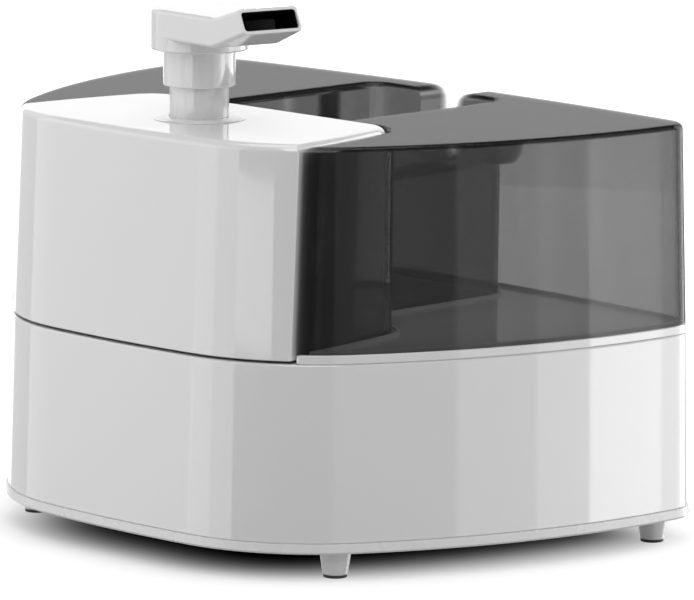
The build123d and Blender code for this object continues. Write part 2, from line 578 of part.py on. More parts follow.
head = rod(0, 0, CAP_R, Z_CAP + 0.8, Z_CAP_TOP - CAP_EDGE)
head += cone(0, 0, CAP_R - 0.8, CAP_R, Z_CAP, Z_CAP + 0.8)
cut = 0.29 * CAP_EDGE
head += cone(0, 0, CAP_R, CAP_R - cut, Z_CAP_TOP - CAP_EDGE, Z_CAP_TOP - cut)
head += cone(0, 0, CAP_R - cut, CAP_R - CAP_EDGE, Z_CAP_TOP - cut, Z_CAP_TOP)
head += spout_root()
head += spout(0, 0, 0)
head += rod(0, 0, SLEEVE_R, Z_SLEEVE + 1.2, Z_CAP + 0.1) + cone(0, 0, SLEEVE_R - 0.8, SLEEVE_R, Z_SLEEVE, Z_SLEEVE + 1.2)
head -= rod(0, 0, 18.7, Z_CAP + 2.2, Z_CAP_TOP - 2.0)
head -= block(0, SPOUT_KNEE, -SPOUT_HALF + 1.9, SPOUT_HALF - 1.9, Z_SPOUT + 1.9, Z_CAP_TOP - 1.9)
head -= spout(1.9, MOUTH_RIM, 0.06)
head -= rod(0, 0, TUBE_R + TURN_GAP, Z_SLEEVE - 1, Z_CAP - 1.2) + rod(0, 0, 11.5, Z_CAP - 2, Z_CAP + 3)
head -= pipe(0, 0, 14.0, 12.0, 204.9, 206.7)
place = Pos(0, NOZ_Y, 0) * Rot(0, 0, SPOUT_AZ)
sleeve_part = rod(0, 0, CAP_R + 1, Z_SLEEVE - 1, Z_CAP)
one(place * (head & sleeve_part), "nozzle_sleeve")
one(place * (head - sleeve_part), "nozzle_head")
liner = spout(1.9, MOUTH_RIM, 0) - spout(2.8, MOUTH_RIM + 0.9, 0.06)
liner -= spout(2.8, MOUTH_RIM + 0.9, -0.5)
liner -= block(SPOUT_KNEE - 1, SPOUT_KNEE + 0.2, -14.4, 14.4, Z_SPOUT + 2.8, Z_CAP_TOP - 2.8)
one(place * liner, "mouth_liner")
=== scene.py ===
"""Table-top humidifier: smooth visual pieces, procedural materials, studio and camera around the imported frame."""
import json
from math import acos, atan2, cos, exp, hypot, pi, radians, sin, tan

import bmesh
import bpy
from mathutils import Matrix, Vector


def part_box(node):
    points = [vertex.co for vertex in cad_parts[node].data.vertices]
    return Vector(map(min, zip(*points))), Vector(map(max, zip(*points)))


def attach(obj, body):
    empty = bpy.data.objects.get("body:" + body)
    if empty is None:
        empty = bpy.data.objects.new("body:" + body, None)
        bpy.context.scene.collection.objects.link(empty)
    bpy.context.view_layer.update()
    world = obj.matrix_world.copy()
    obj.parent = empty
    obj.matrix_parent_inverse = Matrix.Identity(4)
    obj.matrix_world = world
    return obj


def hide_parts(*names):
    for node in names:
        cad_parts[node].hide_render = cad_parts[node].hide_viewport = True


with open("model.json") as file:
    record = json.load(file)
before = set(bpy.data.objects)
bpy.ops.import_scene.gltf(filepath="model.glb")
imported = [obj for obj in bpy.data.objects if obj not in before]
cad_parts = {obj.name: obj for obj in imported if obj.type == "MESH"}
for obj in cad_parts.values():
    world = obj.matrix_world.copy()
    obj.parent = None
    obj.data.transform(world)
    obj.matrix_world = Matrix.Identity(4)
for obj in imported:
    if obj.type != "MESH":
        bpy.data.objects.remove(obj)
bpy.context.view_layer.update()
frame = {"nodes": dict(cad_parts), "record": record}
NODES = frame["nodes"]

# ---- sizes, in millimetres until mesh_object() turns them into metres ----
MM = 0.001


def top_mm(node):
    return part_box(node)[1].z / MM


def low_mm(node):
    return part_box(node)[0].z / MM


def middle_mm(node):
    lo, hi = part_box(node)
    return [(a + b) / 2 / MM for a, b in zip(lo, hi)]


PLAN_RADII = (540.2, 73.0, 309.1, 13.7)  # half plan from the front middle to the back corner
PLAN_TURNS = (4.66, 54.62, 29.52, 84.87)
PLAN_FRONT = -105.0
DRAFT = tan(radians(1.99))
WALL = 2.5
Z_PLATE = low_mm("base_bottom_plate")
Z_RIM = low_mm("base_shell")
Z_DECK = top_mm("base_shell")
Z_FLOOR = low_mm("tank_outer_wall")
Z_TANK = top_mm("tank_top")
Z_SKIRT = Z_DECK + 1.3
Z_TOWER = top_mm("tower_top")
RIM_STEP = 0.9
TOWER_GAP = 1.0
SIDE = ((85.1, -80.0), (81.7, -54.3), (76.46, -28.7))  # plan of the tower's side wall
CORNER = (59.7, -31.5)
CORNER_R = 17.0
CORNER_START = 9.6
WELL_HALF = 40.0
WELL_BACK = 87.9
WELL_R = 9.5
LIP = 3.2
POCKETS = ((-10.3, 63.4, 12.0), (67.0, 83.0, 5.0))
POCKET_DEEP = 12.0
POCKET_LOW = 160.0
NOTCH_HALF = 10.6
NOTCH_LOW = 150.0
NOTCH_FLARE = 7.2
TOWER_LEGS = ((79.4, 81.2, -62.0, -52.0), (22.0, 38.0, -16.8, -14.8))  # x and y spans of the right-hand tabs
TANK_NODES = ("tank_top", "tank_outer_wall", "tank_tower_walls", "tank_grip_right", "tank_grip_left", "tank_bridge")

NOZ_Y = -60.5  # the nozzle's axis is x = 0
SPOUT_TURN = -10.9  # the spout's direction at rest, from +X
CAP_R = 21.1
SLEEVE_R = 15.6
TUBE_R = 12.85
BORE = 10.6
TURN_GAP = 0.05  # clearance of the turning and sliding tubes
TUBE_SEAT = 158.0
GROOVE = (205.0, 206.6, 0.9)  # bottom, top and depth of the snap ring's groove
FLANGE_HOLE_R = 15.6
SPOUT_HALF = 17.2
KNEE = 35.4
Z_SPOUT = 219.7
MOUTH_HALF = 15.2
MOUTH_TOP = (51.4, 237.8)
MOUTH_LOW = (56.7, 227.6)
MOUTH_RIM = 1.45
SPOUT_R = 2.0
SPOUT_WALL = 1.9
SPOUT_RUN = 18.0  # about the length of the spout past the knee
KNEE_SPREAD = 0.07  # share of that length over which the knee bends
CAP_EDGE = 2.4
CAP_ROOM_R = 18.7
CAP_THROAT_R = 11.5
RIM_R = 0.7
Z_CAP_TOP = 232.8
FOOT_XY = ((93.0, -68.8), (134.4, 85.3))
FOOT_TOP = 6.9
FOOT_LOW = 5.4
FOOT_BORE = 3.4


# ---- plan curves ----
def off(z):
    return (Z_TANK - z) * DRAFT


def plan_segments():
    """(start heading, turn, radius, start point) of the five arcs of the half plan."""
    out = []
    x, y, turn = 0.0, PLAN_FRONT, 0.0
    spans = [(r, radians(a)) for r, a in zip(PLAN_RADII, PLAN_TURNS)]
    rest = pi - sum(a for r, a in spans)
    for k in range(5):
        r, a = spans[k] if k < 4 else (x / sin(rest), rest)
        out.append((turn, a, r, x, y))
        x += r * (sin(turn + a) - sin(turn))
        y -= r * (cos(turn + a) - cos(turn))
        turn += a
    return out


SEGMENTS = plan_segments()


def plan_point(t, d):
    """Point of the plan where the outward normal is turned by t from the front, moved out by d."""
    for start, turn, r, x, y in SEGMENTS:
        if t <= start + turn + 1e-9:
            break
    px = x + r * (sin(t) - sin(start))
    py = y - r * (cos(t) - cos(start))
    return (px + d * sin(t), py - d * cos(t))


def plan_run(t0, t1):
    """Headings along the plan from t0 to t1, no further than 4 mm or 2 degrees apart, ends included."""
    cuts = [t0]
    for start, turn, r, x, y in SEGMENTS:
        a, b = max(start, t0), min(start + turn, t1)
        if b - a < 1e-9:
            continue
        n = max(int((b - a) * r / 4.0), int((b - a) / radians(2.0)), 1)
        cuts += [a + (b - a) * (k + 1) / n for k in range(n)]
    return cuts


def plan_loop(d):
    right = [plan_point(t, d) for t in plan_run(0.0, pi)]
    return right + [(-x, y) for x, y in right[-2:0:-1]]


def circle3(a, b, c):
    ax, ay, bx, by, cx, cy = *a, *b, *c
    k = 2 * (ax * (by - cy) + bx * (cy - ay) + cx * (ay - by))
    a2, b2, c2 = ax * ax + ay * ay, bx * bx + by * by, cx * cx + cy * cy
    ux = (a2 * (by - cy) + b2 * (cy - ay) + c2 * (ay - by)) / k
    uy = (a2 * (cx - bx) + b2 * (ax - cx) + c2 * (bx - ax)) / k
    return ux, uy, hypot(ax - ux, ay - uy)


SIDE_X, SIDE_Y, SIDE_R = circle3(*SIDE)
FRONT_SPAN = 44  # points along the tower's front
EDGE_STEPS = 6
SIDE_STEPS, CORNER_STEPS = 14, 20
EDGE_R = 1.4  # upright edge between the tower's front and side
TANK_EDGE_R = 0.5  # the tank's upright edge beside it
LIP_R = 1.5  # where the hand well opens on the tower
ROOM_R = 2.4  # inside the tank's upright edge, which leaves it thick and dark
FRONT_R = SEGMENTS[1][2]


def front_corner(d_plan, d_side):
    """Heading where the plan meets the tower's side curve, and that point."""
    lo, hi = radians(20), radians(59)
    for _ in range(50):
        mid = (lo + hi) / 2
        p = plan_point(mid, d_plan)
        if hypot(p[0] - SIDE_X, p[1] - SIDE_Y) < SIDE_R + d_side:
            lo = mid
        else:
            hi = mid
    return mid, p


def fillet(corner, t_in, t_out, r, n):
    """Arc of radius r that rounds a corner between two travel directions, and its tangent length."""
    cross = t_in[0] * t_out[1] - t_in[1] * t_out[0]
    dot = t_in[0] * t_out[0] + t_in[1] * t_out[1]
    turn = atan2(cross, dot)
    reach = r * tan(abs(turn) / 2)
    sx, sy = corner[0] - t_in[0] * reach, corner[1] - t_in[1] * reach
    s = 1 if turn > 0 else -1
    cx, cy = sx - s * r * t_in[1], sy + s * r * t_in[0]
    a0 = atan2(sy - cy, sx - cx)
    pts = [(cx + r * cos(a0 + turn * k / n), cy + r * sin(a0 + turn * k / n)) for k in range(n + 1)]
    return pts, reach


def side_run(p, d_side, reach):
    """Points of the tower's side and back corner, from the front corner to the flat back wall."""
    r = SIDE_R + d_side
    a0 = atan2(p[1] - SIDE_Y, p[0] - SIDE_X) + reach / r
    cr = CORNER_R + d_side
    first = (CORNER[0] + cr * cos(radians(CORNER_START)), CORNER[1] + cr * sin(radians(CORNER_START)))
    a1 = atan2(first[1] - SIDE_Y, first[0] - SIDE_X)
    arc = [a0 + (a1 - a0) * k / SIDE_STEPS for k in range(1, SIDE_STEPS)]
    pts = [(SIDE_X + r * cos(a), SIDE_Y + r * sin(a)) for a in arc]
    for k in range(CORNER_STEPS + 1):
        a = radians(CORNER_START + (90 - CORNER_START) * k / CORNER_STEPS)
        pts.append((CORNER[0] + cr * cos(a), CORNER[1] + cr * sin(a)))
    return pts


def mirrored(right):
    return right + [(-x, y) for x, y in right[::-1]]


def tower_ring(d_plan, d_side, r):
    t, p = front_corner(d_plan, d_side)
    a = atan2(p[1] - SIDE_Y, p[0] - SIDE_X)
    arc, reach = fillet(p, (cos(t), sin(t)), (-sin(a), cos(a)), r, EDGE_STEPS)
    t_end = t - reach / (FRONT_R + d_plan)
    front = [plan_point(t_end * (k + 0.5) / FRONT_SPAN, d_plan) for k in range(FRONT_SPAN)]
    return mirrored(front + arc + side_run(p, d_side, reach))


def tank_ring(d_plan, inset, r, well):
    """Outline of the tank round the tower; inset moves every wall into the tank's material."""
    d_side = TOWER_GAP + inset
    t, p = front_corner(d_plan - inset, d_side)
    a = atan2(p[1] - SIDE_Y, p[0] - SIDE_X)
    arc, reach = fillet(p, (-cos(t), -sin(t)), (-sin(a), cos(a)), r, EDGE_STEPS)
    t_end = t + reach / (FRONT_R + d_plan - inset)
    back = plan_point(pi, d_plan - inset)
    outer = []
    for start, turn, radius, x, y in SEGMENTS[1:]:
        a0 = max(start, t_end)
        n = max(int(turn * radius / 5.0), int(turn / radians(3.0)), 2)
        outer += [plan_point(a0 + (start + turn - a0) * k / n, d_plan - inset) for k in range(n)]
    half = [(0.0, back[1])] + outer[::-1] + arc + side_run(p, d_side, reach)
    wall_y = CORNER[1] + CORNER_R + d_side
    if well:
        half_w = WELL_HALF + inset
        lip, _ = fillet((half_w, wall_y), (-1.0, 0.0), (0.0, 1.0), max(LIP_R - inset, 0.05), EDGE_STEPS)
        half += lip
        wr = WELL_R + inset
        cx, cy = half_w - wr, WELL_BACK - WELL_R
        half += [(half_w, wall_y + (cy - wall_y) * k / 12) for k in range(1, 12)]
        half += [(cx + wr * cos(radians(9 * k)), cy + wr * sin(radians(9 * k))) for k in range(11)]
        half += [(cx * (1 - k / 6), cy + wr) for k in range(1, 6)]
        half.append((0.0, cy + wr))
    else:
        half += [(CORNER[0] * (1 - k / 8), wall_y) for k in range(1, 8)]
        half.append((0.0, wall_y))
    return half + [(-x, y) for x, y in half[-2:0:-1]]


def well_plan(grow, y_front):
    """Outline of the hand well, grown into its walls."""
    r, cy = WELL_R + grow, WELL_BACK - WELL_R
    arc = [(WELL_HALF - WELL_R + r * cos(radians(9 * k)), cy + r * sin(radians(9 * k))) for k in range(11)]
    return mirrored([(WELL_HALF + grow, y_front)] + arc)


# ---- mesh helpers ----
def mesh_object(name, verts, faces, smooth=True):
    """Mesh object from points in millimetres."""
    mesh = bpy.data.meshes.new(name)
    mesh.from_pydata([Vector(v) * MM for v in verts], [], faces)
    mesh.validate()
    obj = bpy.data.objects.new(name, mesh)
    bpy.context.scene.collection.objects.link(obj)
    bm = bmesh.new()
    bm.from_mesh(mesh)
    bmesh.ops.recalc_face_normals(bm, faces=bm.faces)
    bm.to_mesh(mesh)
    bm.free()
    if smooth:
        mesh.shade_smooth()
    return obj


def stack(name, rings, closed=False):
    """Closed body from outlines [(points, z)], capped at both ends, or joined end to end when closed."""
    n = len(rings[0][0])
    verts = [(x, y, z) for pts, z in rings for x, y in pts]
    faces = []
    count = len(rings)
    for k in range(count if closed else count - 1):
        a, b = k * n, ((k + 1) % count) * n
        for i in range(n):
            j = (i + 1) % n
            faces.append((a + i, a + j, b + j, b + i))
    if not closed:
        faces.append(tuple(range(n))[::-1])
        faces.append(tuple(range((count - 1) * n, count * n)))
    return mesh_object(name, verts, faces)


def lathe(name, profile, x=0.0, y=NOZ_Y, n=96):
    """Solid of revolution about a vertical axis from (radius, z) points, closed as a loop."""
    verts, faces = [], []
    for r, z in profile:
        verts += [(x + r * cos(2 * pi * i / n), y + r * sin(2 * pi * i / n), z) for i in range(n)]
    m = len(profile)
    for k in range(m):
        a, b = k * n, ((k + 1) % m) * n
        for i in range(n):
            j = (i + 1) % n
            faces.append((a + i, a + j, b + j, b + i))
    return mesh_object(name, verts, faces)


def apply_modifiers(obj):
    bpy.context.view_layer.update()
    deps = bpy.context.evaluated_depsgraph_get()
    mesh = bpy.data.meshes.new_from_object(obj.evaluated_get(deps))
    obj.modifiers.clear()
    old = obj.data
    obj.data = mesh
    mesh.name = obj.name
    bpy.data.meshes.remove(old)


def boolean(obj, tool, operation="DIFFERENCE"):
    """Cuts tool from obj, or joins it, and removes tool."""
    mod = obj.modifiers.new("cut", "BOOLEAN")
    mod.operation = operation
    mod.solver = "EXACT"
    mod.object = tool
    apply_modifiers(obj)
    bpy.data.objects.remove(tool)


def finish_shape(obj, angle=32.0):
    """Smooth shading with sharp edges past the angle and face-weighted normals."""
    obj.data.shade_smooth()
    obj.data.set_sharp_from_angle(angle=radians(angle))
    mod = obj.modifiers.new("weight", "WEIGHTED_NORMAL")
    mod.keep_sharp = True
    apply_modifiers(obj)
    return obj


def quarter(r, n=5):
    """(inset, drop) pairs of a rounded edge, from the wall to the face."""
    return [(r * (1 - cos(radians(90 * k / n))), r * (1 - sin(radians(90 * k / n)))) for k in range(n + 1)]


def circle(x, y, r, n):
    return [(x + r * cos(2 * pi * k / n), y + r * sin(2 * pi * k / n)) for k in range(n)]


def box_tool(name, x0, x1, y0, y1, z0, z1):
    verts = [(x, y, z) for z in (z0, z1) for y in (y0, y1) for x in (x0, x1)]
    faces = [(0, 2, 3, 1), (4, 5, 7, 6), (0, 1, 5, 4), (2, 6, 7, 3), (0, 4, 6, 2), (1, 3, 7, 5)]
    return mesh_object(name, verts, faces, smooth=False)


def prism(name, outline, axis, a0, a1):
    """Prism of a closed outline, along x or y, between two coordinates."""
    n = len(outline)
    if axis == "x":
        verts = [(a0, u, v) for u, v in outline] + [(a1, u, v) for u, v in outline]
    else:
        verts = [(u, a0, v) for u, v in outline] + [(u, a1, v) for u, v in outline]
    faces = [(i, (i + 1) % n, n + (i + 1) % n, n + i) for i in range(n)]
    faces += [tuple(range(n))[::-1], tuple(range(n, 2 * n))]
    return mesh_object(name, verts, faces)


def round_bottom(y0, y1, z0, z1, r, n=10):
    """Outline of a pocket in the (y, z) plane with rounded lower corners."""
    pts = [(y0, z1), (y0, z0 + r)]
    pts += [(y0 + r - r * cos(radians(90 * k / n)), z0 + r - r * sin(radians(90 * k / n))) for k in range(1, n + 1)]
    pts += [(y1 - r + r * sin(radians(90 * k / n)), z0 + r - r * cos(radians(90 * k / n))) for k in range(n + 1)]
    pts.append((y1, z1))
    return pts


def notch_outline(d, z_top):
    """Outline in the (x, z) plane: round bottom, straight sides, flared mouth."""
    half = NOTCH_HALF + d
    low = NOTCH_LOW - d
    right = [(half * sin(radians(9 * k)), low + half - half * cos(radians(9 * k))) for k in range(11)]
    r = NOTCH_FLARE
    if d == 0:
        right += [(half + r - r * cos(radians(10 * k)), Z_TANK - r + r * sin(radians(10 * k))) for k in range(10)]
        right.append((half + r, z_top))
    else:
        right.append((half, z_top))
    return right + [(-x, z) for x, z in right[:0:-1]]


# ---- materials ----
def new_material(name):
    mat = bpy.data.materials.new(name)
    mat.use_nodes = True
    nodes = mat.node_tree.nodes
    bsdf = nodes["Principled BSDF"]
    return mat, nodes, mat.node_tree.links, bsdf


def noise_node(nodes, links, scale, detail=3.0, rough=0.55, stretch=(1, 1, 1)):
    coord = nodes.new("ShaderNodeTexCoord")
    mapping = nodes.new("ShaderNodeMapping")
    mapping.inputs["Scale"].default_value = stretch
    noise = nodes.new("ShaderNodeTexNoise")
    noise.inputs["Scale"].default_value = scale
    noise.inputs["Detail"].default_value = detail
    noise.inputs["Roughness"].default_value = rough
    links.new(coord.outputs["Object"], mapping.inputs["Vector"])
    links.new(mapping.outputs["Vector"], noise.inputs["Vector"])
    return noise


def ramp_node(nodes, links, source, low, high, at=(0.35, 0.65)):
    ramp = nodes.new("ShaderNodeValToRGB")
    ramp.color_ramp.elements[0].position = at[0]
    ramp.color_ramp.elements[1].position = at[1]
    ramp.color_ramp.elements[0].color = low if len(low) == 4 else (*low, 1)
    ramp.color_ramp.elements[1].color = high if len(high) == 4 else (*high, 1)
    links.new(source, ramp.inputs["Fac"])
    return ramp


def map_value(nodes, links, source, low, high):
    node = nodes.new("ShaderNodeMapRange")
    node.inputs["From Min"].default_value = 0.3
    node.inputs["From Max"].default_value = 0.7
    node.inputs["To Min"].default_value = low
    node.inputs["To Max"].default_value = high
    links.new(source, node.inputs["Value"])
    return node.outputs["Result"]


def add_bump(nodes, links, bsdf, source, strength, distance):
    bump = nodes.new("ShaderNodeBump")
    bump.inputs["Strength"].default_value = strength
    bump.inputs["Distance"].default_value = distance
    links.new(source, bump.inputs["Height"])
    links.new(bump.outputs["Normal"], bsdf.inputs["Normal"])


def plastic(name, color, rough, spread=0.04, grain=900.0, bump=0.0, ior=1.49):
    """Moulded plastic: slight tone drift, uneven gloss and a fine surface texture."""
    mat, nodes, links, bsdf = new_material(name)
    drift = noise_node(nodes, links, 9.0)
    dark = tuple(c * (1 - spread) for c in color)
    lite = tuple(min(1, c * (1 + spread * 0.5)) for c in color)
    links.new(ramp_node(nodes, links, drift.outputs["Fac"], dark, lite).outputs["Color"], bsdf.inputs["Base Color"])
    gloss = noise_node(nodes, links, 38.0, 4.0)
    links.new(map_value(nodes, links, gloss.outputs["Fac"], rough * 0.8, rough * 1.25), bsdf.inputs["Roughness"])
    bsdf.inputs["IOR"].default_value = ior
    if bump:
        fine = noise_node(nodes, links, grain, 2.0)
        add_bump(nodes, links, bsdf, fine.outputs["Fac"], bump, 0.0001)
    return mat


def smoked(name):
    """Smoked clear plastic: a polished, faintly wavy skin, and absorption that grows with the depth of plastic."""
    mat, nodes, links, bsdf = new_material(name)
    nodes.remove(bsdf)
    out = nodes["Material Output"]
    clear = nodes.new("ShaderNodeBsdfTransparent")
    gloss = nodes.new("ShaderNodeBsdfGlossy")
    facing = nodes.new("ShaderNodeLayerWeight")
    facing.inputs["Blend"].default_value = 0.5
    grazing = nodes.new("ShaderNodeMath")
    grazing.operation = "POWER"
    grazing.inputs[1].default_value = 5.0
    links.new(facing.outputs["Facing"], grazing.inputs[0])
    skin = nodes.new("ShaderNodeMath")
    skin.operation = "MULTIPLY_ADD"
    skin.inputs[1].default_value = SKIN_GRAZE
    skin.inputs[2].default_value = SKIN_GLOSS
    links.new(grazing.outputs[0], skin.inputs[0])
    wave = noise_node(nodes, links, 16.0, 2.0, 0.5, (1, 1, 0.25))
    links.new(map_value(nodes, links, wave.outputs["Fac"], 0.02, 0.07), gloss.inputs["Roughness"])
    add_bump(nodes, links, gloss, wave.outputs["Fac"], 0.35, 0.0006)
    flow = noise_node(nodes, links, 30.0, 3.0, 0.5, (1, 1, 0.2))
    tint = ramp_node(nodes, links, flow.outputs["Fac"], (0.95, 0.95, 0.95), (1, 1, 1))
    links.new(tint.outputs["Color"], clear.inputs["Color"])
    mix = nodes.new("ShaderNodeMixShader")
    links.new(skin.outputs[0], mix.inputs[0])
    links.new(clear.outputs[0], mix.inputs[1])
    links.new(gloss.outputs[0], mix.inputs[2])
    links.new(mix.outputs[0], out.inputs["Surface"])
    depth = nodes.new("ShaderNodeVolumeAbsorption")
    depth.inputs["Color"].default_value = (0.0, 0.0, 0.0, 1)
    depth.inputs["Density"].default_value = SMOKE_DEPTH
    links.new(depth.outputs[0], out.inputs["Volume"])
    return mat


def metal(name, color, rough, brushed=(1, 1, 1), scale=260.0):
    mat, nodes, links, bsdf = new_material(name)
    bsdf.inputs["Metallic"].default_value = 1.0
    lines = noise_node(nodes, links, scale, 4.0, 0.6, brushed)
    dark = tuple(c * 0.82 for c in color)
    tone = ramp_node(nodes, links, lines.outputs["Fac"], dark, color)
    links.new(tone.outputs["Color"], bsdf.inputs["Base Color"])
    links.new(map_value(nodes, links, lines.outputs["Fac"], rough * 0.7, rough * 1.3), bsdf.inputs["Roughness"])
    add_bump(nodes, links, bsdf, lines.outputs["Fac"], 0.15, 0.00005)
    return mat


def circuit(name):
    """Solder mask with copper tracks and tinned pads."""
    mat, nodes, links, bsdf = new_material(name)
    coord = nodes.new("ShaderNodeTexCoord")
    brick = nodes.new("ShaderNodeTexBrick")
    brick.inputs["Scale"].default_value = 130.0
    brick.inputs["Mortar Size"].default_value = 0.03
    brick.inputs["Color1"].default_value = (0.01, 0.1, 0.045, 1)
    brick.inputs["Color2"].default_value = (0.012, 0.13, 0.055, 1)
    brick.inputs["Mortar"].default_value = (0.1, 0.28, 0.08, 1)
    links.new(coord.outputs["Object"], brick.inputs["Vector"])
    spots = nodes.new("ShaderNodeTexVoronoi")
    spots.inputs["Scale"].default_value = 240.0
    links.new(coord.outputs["Object"], spots.inputs["Vector"])
    pads = ramp_node(nodes, links, spots.outputs["Distance"], (1, 1, 1), (0, 0, 0), (0.12, 0.16))
    mix = nodes.new("ShaderNodeMix")
    mix.data_type = "RGBA"
    links.new(pads.outputs["Color"], mix.inputs["Factor"])
    links.new(brick.outputs["Color"], mix.inputs["A"])
    mix.inputs["B"].default_value = (0.6, 0.58, 0.52, 1)
    links.new(mix.outputs["Result"], bsdf.inputs["Base Color"])
    bsdf.inputs["Roughness"].default_value = 0.35
    add_bump(nodes, links, bsdf, brick.outputs["Fac"], 0.3, 0.0001)
    return mat


def foam(name):
    mat, nodes, links, bsdf = new_material(name)
    coord = nodes.new("ShaderNodeTexCoord")
    cells = nodes.new("ShaderNodeTexVoronoi")
    cells.inputs["Scale"].default_value = 700.0
    links.new(coord.outputs["Object"], cells.inputs["Vector"])
    shade = ramp_node(nodes, links, cells.outputs["Distance"], (0.01, 0.01, 0.01), (0.06, 0.06, 0.065), (0.1, 0.6))
    links.new(shade.outputs["Color"], bsdf.inputs["Base Color"])
    bsdf.inputs["Roughness"].default_value = 0.95
    add_bump(nodes, links, bsdf, cells.outputs["Distance"], 0.8, 0.0005)
    return mat


def painted_shadow_paper(name):
    """Pale paper with a painted contact shadow: its tone and its glow, which only the camera sees, both fade under
    the object.
    """
    mat, nodes, links, bsdf = new_material(name)
    grain = noise_node(nodes, links, 40.0)
    tone = ramp_node(nodes, links, grain.outputs["Fac"], (0.49, 0.49, 0.49), (0.51, 0.51, 0.51))
    # painted shadow: the open attribute darkens the paper's tone under and round the object
    free = nodes.new("ShaderNodeAttribute")
    free.attribute_name = "open"
    painted_shade_tone = nodes.new("ShaderNodeVectorMath")
    painted_shade_tone.operation = "SCALE"
    links.new(tone.outputs["Color"], painted_shade_tone.inputs[0])
    links.new(free.outputs["Fac"], painted_shade_tone.inputs["Scale"])
    links.new(painted_shade_tone.outputs[0], bsdf.inputs["Base Color"])
    bsdf.inputs["Roughness"].default_value = 0.95
    bsdf.inputs["Specular IOR Level"].default_value = 0.0
    # painted light: a glow seen only by the camera, fading to nothing where the painted shadow lies
    glow = nodes.new("ShaderNodeAttribute")
    glow.attribute_name = "glow"
    path = nodes.new("ShaderNodeLightPath")
    seen = nodes.new("ShaderNodeMath")
    seen.operation = "MULTIPLY"
    links.new(glow.outputs["Fac"], seen.inputs[0])
    links.new(path.outputs["Is Camera Ray"], seen.inputs[1])
    bsdf.inputs["Emission Color"].default_value = (1, 1, 1, 1)
    links.new(seen.outputs[0], bsdf.inputs["Emission Strength"])
    return mat


SMOKE_DEPTH = 330.0  # per metre of plastic
SKIN_GLOSS = 0.04  # share of light that smoked plastic reflects face on
SKIN_GRAZE = 0.42  # what the reflection gains towards grazing angles
MATERIALS = {
    "white_shell": plastic("white_gloss", (0.72, 0.72, 0.72), 0.06, 0.012, bump=0.02, ior=1.9),
    "white_base": plastic("white_satin", (0.77, 0.77, 0.77), 0.28, 0.02, bump=0.05, ior=1.6),
    "smoke_tank": smoked("smoked_clear"),
    "deck_white": plastic("deck_matt", (0.74, 0.75, 0.75), 0.38, 0.03, bump=0.12),
    "cap_grey": plastic("cap_grey", (0.42, 0.44, 0.46), 0.3, 0.05, bump=0.08),
    "valve_white": plastic("valve_white", (0.72, 0.72, 0.7), 0.42, 0.04, bump=0.1),
    "float_blue": plastic("float_foam", (0.12, 0.25, 0.4), 0.7, 0.1, 500.0, 0.3),
    "black_plastic": plastic("black_moulded", (0.004, 0.004, 0.0045), 0.7, 0.2, bump=0.15, ior=1.12),
    "knob_white": plastic("knob_satin", (0.8, 0.8, 0.79), 0.25, 0.02, bump=0.06),
    "rubber_grey": plastic("rubber_grey", (0.045, 0.045, 0.047), 0.75, 0.15, 600.0, 0.35),
    "silicone": plastic("silicone", (0.62, 0.63, 0.63), 0.55, 0.06, 400.0, 0.15),
    "filter_foam": foam("filter_foam"),
    "steel": metal("steel", (0.56, 0.56, 0.57), 0.3),
    "motor_steel": metal("motor_steel", (0.42, 0.42, 0.44), 0.35, (1, 1, 12)),
    "piezo": metal("piezo", (0.75, 0.73, 0.66), 0.25, scale=90.0),
    "aluminium_fins": metal("aluminium_fins", (0.7, 0.71, 0.72), 0.38, (10, 1, 1)),
    "brass_pins": metal("brass_pins", (0.72, 0.55, 0.25), 0.22, (1, 8, 1)),
    "circuit_board": circuit("circuit_board"),
    "electronics": plastic("electronics", (0.03, 0.03, 0.035), 0.4, 0.3, bump=0.1),
    "transformer_core": metal("transformer_core", (0.2, 0.15, 0.09), 0.5, (1, 14, 1)),
    "pot_metal": metal("pot_metal", (0.5, 0.5, 0.5), 0.3),
    "lens_green": plastic("lens_green", (0.05, 0.5, 0.18), 0.08, 0.1),
    "wire_sleeve": plastic("wire_sleeve", (0.4, 0.02, 0.015), 0.45, 0.2, 300.0, 0.1),
}
SLOT_OF = {row["node"]: row["material_slot"] for row in frame["record"]["subparts"]}


def dress_nodes():
    for name, node in NODES.items():
        mat = MATERIALS[SLOT_OF[name]]
        if not node.data.materials:
            node.data.materials.append(mat)
        for k in range(len(node.data.materials)):
            node.data.materials[k] = mat


def place(obj, body, slot, *nodes):
    obj.data.materials.clear()
    obj.data.materials.append(MATERIALS[slot])
    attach(obj, body)
    if nodes:
        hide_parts(*nodes)
    return obj


# ---- pieces ----
def make_base_shell():
    d0, d1 = off(Z_RIM) - RIM_STEP, off(Z_DECK)
    rings = [(plan_loop(d0 - WALL), Z_RIM), (plan_loop(d0 - 0.5), Z_RIM), (plan_loop(d0), Z_RIM + 0.5)]
    for k in range(1, 12):
        f = k / 12
        rings.append((plan_loop(d0 + (d1 - d0) * f), Z_RIM + 0.5 + (Z_DECK - 1.5 - Z_RIM) * f))
    rings += [(plan_loop(d1 - inset), Z_DECK - drop) for inset, drop in quarter(1.0, 4)]
    rings.append((plan_loop(d1 - WALL), Z_DECK))
    shell = stack("shell_skin", rings, closed=True)
    lo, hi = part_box("knob_bezel")
    r = (hi.x - lo.x) / 2 / MM + 0.05
    cx, _, cz = middle_mm("knob_bezel")
    boolean(shell, prism("hole", circle(cx, cz, r, 72), "y", 90, 125))
    cx, _, cz = middle_mm("indicator_lens")
    boolean(shell, prism("hole", circle(cx, cz, 3.0, 32), "y", 90, 125))
    cx, _, cz = middle_mm("power_inlet")
    boolean(shell, box_tool("hole", cx - 12, cx + 12, 95, 125, cz - 6, cz + 6))
    return place(finish_shape(shell), "base", "white_shell", "base_shell")


